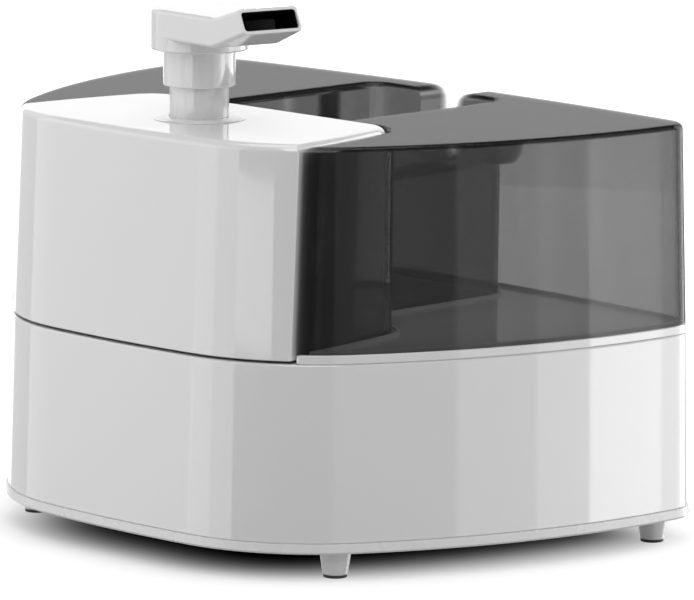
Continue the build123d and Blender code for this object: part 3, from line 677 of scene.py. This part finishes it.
def make_tank_floor():
    rings = [(tank_ring(off(Z_DECK), 0.5, 1.2, False), Z_DECK)]
    rings.append((tank_ring(off(Z_DECK + 0.5), 0.0, 1.2, False), Z_DECK + 0.5))
    rings.append((tank_ring(off(Z_FLOOR - 0.4), 0.0, 1.2, False), Z_FLOOR - 0.4))
    rings.append((tank_ring(off(Z_FLOOR), 0.4, 1.2, False), Z_FLOOR))
    plate = stack("floor_plate", rings)
    cx, cy, _ = middle_mm("tank_cap")
    z0, z1 = low_mm("tank_neck"), top_mm("tank_floor")
    profile = [(26.5, z0), (26.5, Z_DECK + 1), (26.0, Z_FLOOR - 1), (26.0, z1), (23.0, z1), (23.0, z0)]
    neck = lathe("neck", profile, cx, cy)
    boolean(plate, neck, "UNION")
    ring = circle(cx, cy, 23.5, 96)
    boolean(plate, stack("hole", [(ring, z0 - 2), (ring, z1 + 2)]))
    return place(finish_shape(plate), "tank", "white_shell", "tank_floor", "tank_neck")


def pocket_tool(name, y0, y1, r, grow, side):
    x0, x1 = WELL_HALF - 3.0, WELL_HALF + POCKET_DEEP + grow
    z1 = Z_TANK - LIP if grow == 0 else Z_TANK + 4
    outline = round_bottom(y0 - grow, y1 + grow, POCKET_LOW - grow, z1, r + grow)
    return prism(name, outline, "x", side * x0, side * x1)


def make_tank():
    edge = 2.6
    rings = [(tank_ring(off(Z_FLOOR), 0.0, TANK_EDGE_R, True), Z_FLOOR)]
    for k in range(1, 8):
        z = Z_FLOOR + (Z_TANK - edge - Z_FLOOR) * k / 8
        rings.append((tank_ring(off(z), 0.0, TANK_EDGE_R, True), z))
    for inset, drop in quarter(edge, 6):
        rings.append((tank_ring(off(Z_TANK - drop), inset, max(TANK_EDGE_R - inset, 0.05), True), Z_TANK - drop))
    tank = stack("tank_skin", rings)
    room = stack("room", [(tank_ring(off(Z_FLOOR - 1), WALL, ROOM_R, True), Z_FLOOR - 1),
                          (tank_ring(off(Z_TANK - WALL), WALL, ROOM_R, True), Z_TANK - WALL)])
    boolean(room, prism("notch", notch_outline(WALL, Z_TANK + 5), "y", 80, 115))
    boolean(tank, prism("notch", notch_outline(0, Z_TANK + 5), "y", 80, 115))
    plate = well_plan(1.0, CORNER[1] + CORNER_R + TOWER_GAP + 0.3)
    boolean(tank, stack("well_floor", [(plate, Z_FLOOR + 0.05), (plate, Z_FLOOR + WALL)]), "UNION")
    for side in (-1, 1):
        for y0, y1, r in POCKETS:
            boolean(room, pocket_tool("pocket", y0, y1, r, WALL, side))
            boolean(tank, pocket_tool("pocket", y0, y1, r, 0, side))
    boolean(tank, room)
    return place(finish_shape(tank), "tank", "smoke_tank", *TANK_NODES)


def make_tower():
    edge = 3.6
    d0 = off(Z_SKIRT)
    rings = [(tower_ring(d0 - WALL, -WALL, 0.3), Z_SKIRT), (tower_ring(d0 - 0.4, -0.4, EDGE_R - 0.3), Z_SKIRT)]
    rings.append((tower_ring(off(Z_SKIRT + 0.4), 0.0, EDGE_R), Z_SKIRT + 0.4))
    for k in range(1, 9):
        z = Z_SKIRT + (Z_TOWER - edge - Z_SKIRT) * k / 9
        rings.append((tower_ring(off(z), 0.0, EDGE_R), z))
    for inset, drop in quarter(edge, 8):
        rings.append((tower_ring(off(Z_TOWER - drop) - inset, -inset, max(EDGE_R - inset, 0.1)), Z_TOWER - drop))
    n = len(rings[0][0])
    inner = [(tower_ring(off(Z_TOWER - WALL) - WALL - 2, -WALL - 2, 0.3), Z_TOWER - WALL),
             (tower_ring(off(Z_TOWER - WALL - 2) - WALL, -WALL, 0.3), Z_TOWER - WALL - 2)]
    verts, faces = [], []
    for pts, z in rings + inner:
        verts += [(x, y, z) for x, y in pts]
    order = list(range(len(rings)))
    for a, b in zip(order, order[1:]):
        faces += [(a * n + i, a * n + (i + 1) % n, b * n + (i + 1) % n, b * n + i) for i in range(n)]
    top, deep, high = order[-1], len(rings), len(rings) + 1
    faces.append(tuple(range(top * n, top * n + n)))
    faces.append(tuple(range(deep * n, deep * n + n))[::-1])
    for a, b in ((deep, high), (high, 0)):
        faces += [(a * n + i, a * n + (i + 1) % n, b * n + (i + 1) % n, b * n + i) for i in range(n)]
    tower = mesh_object("tower_skin", verts, faces)
    ring = circle(0.0, NOZ_Y, FLANGE_HOLE_R, 96)
    boolean(tower, stack("hole", [(ring, Z_TOWER - 10), (ring, Z_TOWER + 5)]))
    for s in (-1, 1):
        for x0, x1, y0, y1 in TOWER_LEGS:
            boolean(tower, box_tool("leg", *sorted((s * x0, s * x1)), y0, y1, Z_DECK, Z_SKIRT + 4), "UNION")
    return place(finish_shape(tower), "tower", "white_shell", "tower_cover", "tower_top")


def turned(obj):
    """Turns a piece made about the z axis to the spout's rest direction on the nozzle's axis."""
    turn = Matrix.Translation((0, NOZ_Y * MM, 0)) @ Matrix.Rotation(radians(SPOUT_TURN), 4, "Z")
    obj.data.transform(turn)
    return obj


def rounded_quad(corners, r, n=5):
    """Closed outline through four corners in space, each rounded by r."""
    out = []
    for k in range(4):
        at, before, after = (Vector(corners[j % 4]) for j in (k, k - 1, k + 1))
        u, v = (before - at).normalized(), (after - at).normalized()
        for i in range(n + 1):
            a = radians(90 * i / n)
            out.append(at + u * r * (1 - sin(a)) + v * r * (1 - cos(a)))
    return out


def spout_section(f, wall, rim):
    """Corners of the spout's section: f is 0 at the knee and 1 at the mouth, wall and rim are insets."""
    dx, dz = MOUTH_TOP[0] - MOUTH_LOW[0], MOUTH_TOP[1] - MOUTH_LOW[1]
    k = rim / hypot(dx, dz)
    half0, half1 = SPOUT_HALF - wall, MOUTH_HALF - rim
    low0, low1 = (KNEE, Z_SPOUT + wall), (MOUTH_LOW[0] + k * dx, MOUTH_LOW[1] + k * dz)
    top0, top1 = (KNEE, Z_CAP_TOP - wall), (MOUTH_TOP[0] - k * dx, MOUTH_TOP[1] - k * dz)
    lx, lz = low0[0] + f * (low1[0] - low0[0]), low0[1] + f * (low1[1] - low0[1])
    tx, tz = top0[0] + f * (top1[0] - top0[0]), top0[1] + f * (top1[1] - top0[1])
    half = half0 + f * (half1 - half0)
    return [(lx, -half, lz), (lx, half, lz), (tx, half, tz), (tx, -half, tz)]


def tube_mesh(name, rings, cap=True):
    n = len(rings[0])
    verts = [tuple(p) for ring in rings for p in ring]
    faces = []
    for k in range(len(rings) - 1 if cap else len(rings)):
        a, b = k * n, ((k + 1) % len(rings)) * n
        faces += [(a + i, a + (i + 1) % n, b + (i + 1) % n, b + i) for i in range(n)]
    if cap:
        faces += [tuple(range(n))[::-1], tuple(range((len(rings) - 1) * n, len(rings) * n))]
    return mesh_object(name, verts, faces)


ROOT_TURN = atan2(SPOUT_HALF, KNEE) + acos(CAP_R / hypot(SPOUT_HALF, KNEE))  # where the sides touch the round head


def root_section(x):
    """Corners of the spout's section behind the knee, where its sides run tangent to the round head."""
    widen = (CAP_R * sin(ROOT_TURN) - SPOUT_HALF) / (KNEE - CAP_R * cos(ROOT_TURN))
    half = SPOUT_HALF + (KNEE - x) * widen
    return [(x, -half, Z_SPOUT), (x, half, Z_SPOUT), (x, half, Z_CAP_TOP), (x, -half, Z_CAP_TOP)]


def knee_bend(f):
    """Section just either side of the knee: f is below 0 behind it."""
    return spout_section(f, 0, 0) if f >= 0 else root_section(KNEE + f * SPOUT_RUN)


def spout_skin(name):
    """Outer skin of the spout: a rounded box that bends at the knee and ends in a softly rounded rim."""
    rings = [rounded_quad(root_section(CAP_R * cos(ROOT_TURN) + 0.5), SPOUT_R)]
    reach = KNEE_SPREAD
    a, b, c = knee_bend(-reach), knee_bend(0), knee_bend(reach)
    for k in range(7):
        t = k / 6
        weights = ((1 - t) ** 2, 2 * t * (1 - t), t * t)
        quad = [tuple(sum(w * v for w, v in zip(weights, axis)) for axis in zip(*trio)) for trio in zip(a, b, c)]
        rings.append(rounded_quad(quad, SPOUT_R))
    for k in range(1, 6):
        rings.append(rounded_quad(spout_section(reach + (0.94 - reach) * k / 5, 0, 0), SPOUT_R))
    for inset, drop in quarter(RIM_R, 4):
        quad = spout_section(1 - drop / SPOUT_RUN, 0, 0)
        mid = sum((Vector(p) for p in quad), Vector()) / 4
        pulled = [Vector(p) + ((mid - Vector(p)).normalized() * inset * 1.3) for p in quad]
        rings.append(rounded_quad([tuple(p) for p in pulled], SPOUT_R - 0.5 * inset))
    return tube_mesh(name, rings)


def make_head():
    z_sleeve, z_cap = low_mm("nozzle_sleeve"), low_mm("nozzle_head")
    low = [(CAP_R - i, z_cap + d) for i, d in quarter(0.9, 4)[::-1]]
    top = [(CAP_R - i, Z_CAP_TOP - d) for i, d in quarter(CAP_EDGE, 6)]
    head = lathe("head_skin", [(0.01, z_cap)] + low + top + [(0.01, Z_CAP_TOP)], y=0.0, n=144)
    boolean(head, spout_skin("spout"), "UNION")
    sleeve = [(TUBE_R + TURN_GAP, z_sleeve + 0.3), (TUBE_R + TURN_GAP + 0.3, z_sleeve)]
    sleeve += [(SLEEVE_R - i, z_sleeve + d) for i, d in quarter(0.6, 3)[::-1]]
    sleeve += [(SLEEVE_R, z_cap + 0.6), (TUBE_R + TURN_GAP, z_cap + 0.6)]
    boolean(head, lathe("sleeve", sleeve, y=0.0, n=144), "UNION")
    z_floor, z_roof = z_cap + 2.2, Z_CAP_TOP - 2.0
    profile = [(0.01, z_cap - 2), (CAP_THROAT_R, z_cap - 2), (CAP_THROAT_R, z_floor), (CAP_ROOM_R, z_floor),
               (CAP_ROOM_R, z_roof), (0.01, z_roof)]
    room = lathe("room", profile, y=0.0)
    knee, past = (spout_section(f, SPOUT_WALL, MOUTH_RIM) for f in (0, 1.08))
    start = [(6.0, y, z) for _, y, z in knee]
    boolean(room, tube_mesh("duct", [rounded_quad(q, 1.5) for q in (start, knee, past)]), "UNION")
    boolean(head, room)
    return place(turned(finish_shape(head, 30.0)), "head", "white_shell", "nozzle_head", "nozzle_sleeve")


def make_mouth_shade_liner():
    """Black lining of the mouth, a short rounded tube set just inside the rim; its black stands in for the shade
    deep inside the mouth.
    """
    thick = 0.6
    outer = [rounded_quad(spout_section(f, SPOUT_WALL, MOUTH_RIM), 1.5) for f in (0.03, 0.5, 0.95)]
    wall, rim = SPOUT_WALL + thick, MOUTH_RIM + thick
    inner = [rounded_quad(spout_section(f, wall, rim), 1.1) for f in (0.95, 0.5, 0.03)]
    liner = tube_mesh("mouth_painted_shade_lining", outer + inner, cap=False)
    return place(turned(finish_shape(liner, 40.0)), "head", "black_plastic", "mouth_liner")


def make_tube():
    z0, z1 = low_mm("nozzle_tube"), top_mm("nozzle_tube")
    g0, g1, deep = GROOVE
    profile = [(BORE, z0 + 0.4), (BORE + 0.4, z0), (TUBE_R - 0.4, z0), (TUBE_R, z0 + 0.4), (TUBE_R, g0),
               (TUBE_R - deep, g0), (TUBE_R - deep, g1), (TUBE_R, g1), (TUBE_R, z1 - 0.4),
               (TUBE_R - 0.4, z1), (BORE + 0.4, z1), (BORE, z1 - 0.4)]
    pipe = finish_shape(lathe("nozzle_pipe", profile, n=128), 40.0)
    return place(pipe, "tube", "white_shell", "nozzle_tube")


def make_flange():
    z0, z1 = low_mm("nozzle_flange"), top_mm("nozzle_flange")
    r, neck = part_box("nozzle_flange")[1].x / MM, FLANGE_HOLE_R - 0.1
    profile = [(BORE, z0), (neck, z0), (neck, Z_TOWER), (r - 0.1, Z_TOWER), (r, Z_TOWER + 0.12)]
    profile += [(r - 0.25, Z_TOWER + 0.3), (r - 1.6, z1 - 0.45), (r - 3.4, z1 - 0.1), (r - 4.6, z1)]
    profile += [(TUBE_R + 0.6, z1), (TUBE_R + TURN_GAP, z1 - 0.5), (TUBE_R + TURN_GAP, TUBE_SEAT), (BORE, TUBE_SEAT)]
    collar = finish_shape(lathe("nozzle_collar", profile, n=128), 40.0)
    return place(collar, "tower", "white_shell", "nozzle_flange")


def make_feet():
    """Tapered feet with a softly rounded lower edge."""
    for n, (x, y) in enumerate(FOOT_XY):
        for s in (-1, 1):
            profile = [(FOOT_BORE, 2.2), (FOOT_BORE, 1.2), (FOOT_LOW - 0.5, 1.2), (FOOT_LOW - 0.15, 1.35),
                       (FOOT_LOW + 0.03, 1.8), (FOOT_TOP, Z_PLATE), (0.01, Z_PLATE), (0.01, 2.2)]
            foot = lathe(f"foot_{n}_{'right' if s > 0 else 'left'}", profile, s * x, y, 64)
            place(finish_shape(foot, 35.0), "base", "white_base", "feet")


dress_nodes()
make_head()
make_mouth_shade_liner()
make_tube()
make_flange()
make_feet()
make_base_shell()
make_tank_floor()
make_tank()
make_tower()


# ---- studio ----
# painted contact shadow on the floor: the object's plan, blurred, darkens the floor's tone and glow under and round
# it
SHADE_STEP = 6.0  # mm between the floor's grid lines under and round the object
SHADE_CELLS = (40, 35)  # grid lines each side of the middle
SHADE_BLUR = 15.0  # mm
SHADE_POWER = 2.0
SHADE_NARROW = 0.91  # the painted shade stops short of the object's left and right ends
GLOW_NEAR, GLOW_FAR = 200.0, 750.0  # mm from the middle, where the painted glow starts and ends its rise
# painted glow on the floor, seen only by the camera: its level near the object and far away
GLOW_LOW, GLOW_HIGH = 0.6, 1.1
FLOOR_FAR = [600.0, 3000.0]
AMBIENT = 0.3
BACKDROP = 1.1  # the white that the camera sees past the floor
PANEL_SHAPES = {"tall": (1.4, 0.15), "low": (0.5, 0.05), "strip": (0.1, 0.045)}  # height and middle's height in m
PANELS = (  # name, from, to (headings from the front towards +X), radiance, shape
    ("back", 150, 180, 3.0, "tall"),
    ("back_low", 165, 180, 1.5, "low"),
    ("rear_low", 105, 150, 1.4, "low"),
    ("stripe", 115, 130, 1.8, "low"),
    ("rear_fill", 130, 150, 0.8, "low"),
    ("side_low", 90, 105, 0.8, "low"),
    ("right", 60, 90, 0.24, "tall"),
    ("front_strip", 0, 23, 1.2, "strip"),
    ("front", -15, 0, 0.9, "tall"),
    ("front_key", -30, -15, 1.3, "tall"),
    ("front_left", -75, -30, 1.1, "tall"),
    ("left", -105, -75, 0.5, "tall"),
    ("left_low", -105, -75, 1.0, "low"),
    ("left_key", -120, -105, 1.4, "tall"),
    ("left_back", -165, -120, 0.95, "tall"),
)
TOP_PANELS = (  # name, place in m, size in m, radiance
    ("top", (0, 0, 1.6), 1.2, 1.5),
    ("top_front", (0.9, -0.9, 1.4), 1.0, 2.6),
    ("top_right", (0.9, 0.9, 1.4), 1.0, 0.3),
)


def area(name, place_at, target, size, size_y, glow):
    """Soft panel whose face shines with the given radiance."""
    data = bpy.data.lights.new(name, "AREA")
    data.shape = "RECTANGLE"
    data.size = size
    data.size_y = size_y
    data.energy = glow * pi * size * size_y
    obj = bpy.data.objects.new(name, data)
    bpy.context.scene.collection.objects.link(obj)
    obj.location = place_at
    obj.rotation_euler = (Vector(target) - Vector(place_at)).to_track_quat("-Z", "Y").to_euler()
    obj.visible_camera = False
    return obj


def panel(name, start, end, glow, shape):
    """Upright panel a metre away, between two headings measured from the front towards +X."""
    mid, half = radians((start + end) / 2), radians((end - start) / 2)
    height, z = PANEL_SHAPES[shape]
    return area(name, (sin(mid), -cos(mid), z), (0, 0, z), 2 * tan(half), height, glow)


def blurred(rows):
    """Each row of numbers smoothed along its length by a bell curve SHADE_BLUR wide."""
    reach = int(3 * SHADE_BLUR / SHADE_STEP)
    bell = [exp(-0.5 * (k * SHADE_STEP / SHADE_BLUR) ** 2) for k in range(-reach, reach + 1)]
    total = sum(bell)
    out = []
    for row in rows:
        padded = [0.0] * reach + row + [0.0] * reach
        out.append([sum(w * padded[k + j] for j, w in enumerate(bell)) / total for k in range(len(row))])
    return out


def make_floor():
    """Flat floor meshed as a grid that carries a painted contact shadow: each spot's share clear of the object's
    blurred plan, which scales the paper's tone and its glow.
    """
    xs, ys = ([k * SHADE_STEP for k in range(-n, n + 1)] for n in SHADE_CELLS)
    edge = plan_loop(off(Z_PLATE))
    rows = []
    for y in ys:
        half = 0.0
        for (ax, ay), (bx, by) in zip(edge, edge[1:]):
            if min(ay, by) <= y < max(ay, by):
                half = max(half, SHADE_NARROW * (ax + (bx - ax) * (y - ay) / (by - ay)))
        rows.append([min(1.0, max(0.0, (half - abs(x)) / SHADE_STEP + 0.5)) if half else 0.0 for x in xs])
    rows = blurred(rows)
    columns = blurred([list(c) for c in zip(*rows)])
    grid_x, grid_y = ([-d for d in FLOOR_FAR[::-1]] + line + FLOOR_FAR for line in (xs, ys))
    verts = [(x, y, 0) for x in grid_x for y in grid_y]
    n, m, skip = len(grid_x), len(grid_y), len(FLOOR_FAR)
    corners = [i * m + j for i in range(n - 1) for j in range(m - 1)]
    faces = [(c, c + m, c + m + 1, c + 1) for c in corners]
    floor = mesh_object("floor", verts, faces, False)
    level = floor.data.attributes.new("glow", "FLOAT", "POINT")
    outside_painted_shade = floor.data.attributes.new("open", "FLOAT", "POINT")
    for i, x in enumerate(grid_x):
        for j, y in enumerate(grid_y):
            near = skip <= i < n - skip and skip <= j < m - skip
            # painted shadow: this share is 1 clear of the object and drops towards 0 under it
            free = 1 - (columns[i - skip][j - skip] if near else 0.0) ** SHADE_POWER
            away = min(1.0, max(0.0, (hypot(x, y) - GLOW_NEAR) / (GLOW_FAR - GLOW_NEAR)))
            level.data[i * m + j].value = free * (GLOW_LOW + (GLOW_HIGH - GLOW_LOW) * away)
            outside_painted_shade.data[i * m + j].value = free
    floor.data.materials.append(painted_shadow_paper("floor_paper_painted_shadow"))
    floor.visible_glossy = False


def make_studio():
    scene = bpy.context.scene
    scene.view_settings.view_transform = "Standard"
    world = bpy.data.worlds.new("studio")
    scene.world = world
    world.use_nodes = True
    nodes, links = world.node_tree.nodes, world.node_tree.links
    back = nodes["Background"]
    back.inputs["Color"].default_value = (1, 1, 1, 1)
    back.inputs["Strength"].default_value = AMBIENT
    seen = nodes.new("ShaderNodeBackground")
    seen.inputs["Color"].default_value = (1, 1, 1, 1)
    seen.inputs["Strength"].default_value = BACKDROP
    path = nodes.new("ShaderNodeLightPath")
    mix = nodes.new("ShaderNodeMixShader")
    links.new(path.outputs["Is Camera Ray"], mix.inputs[0])
    links.new(back.outputs[0], mix.inputs[1])
    links.new(seen.outputs[0], mix.inputs[2])
    links.new(mix.outputs[0], nodes["World Output"].inputs["Surface"])
    make_floor()
    for name, start, end, glow, shape in PANELS:
        panel(name, start, end, glow, shape)
    for name, at, size, glow in TOP_PANELS:
        area(name, at, (0, 0, 0), size, size, glow)


CAMERA_AIM = (0.03085, -0.00022, 0.10261)  # m
CAMERA_FROM = 2.7  # m from the aim
CAMERA_TURN = 44.4852  # degrees from the front towards +X
CAMERA_RISE = 9.6734
CAMERA_ROLL = 0.6465
LENS = 322.686


def make_camera():
    data = bpy.data.cameras.new("camera")
    data.sensor_width = 36.0
    data.lens = LENS
    data.clip_end = 50.0
    cam = bpy.data.objects.new("camera", data)
    bpy.context.scene.collection.objects.link(cam)
    turn, rise, roll = (radians(a) for a in (CAMERA_TURN, CAMERA_RISE, CAMERA_ROLL))
    back = Vector((cos(rise) * sin(turn), -cos(rise) * cos(turn), sin(rise)))
    level = Vector((cos(turn), sin(turn), 0))
    upright = back.cross(level)
    right = level * cos(roll) + upright * sin(roll)
    axes = Matrix((right, back.cross(right), back)).transposed()
    cam.matrix_world = Matrix.Translation(Vector(CAMERA_AIM) + back * CAMERA_FROM) @ axes.to_4x4()
    bpy.context.scene.camera = cam


make_studio()
make_camera()
bpy.context.view_layer.update()
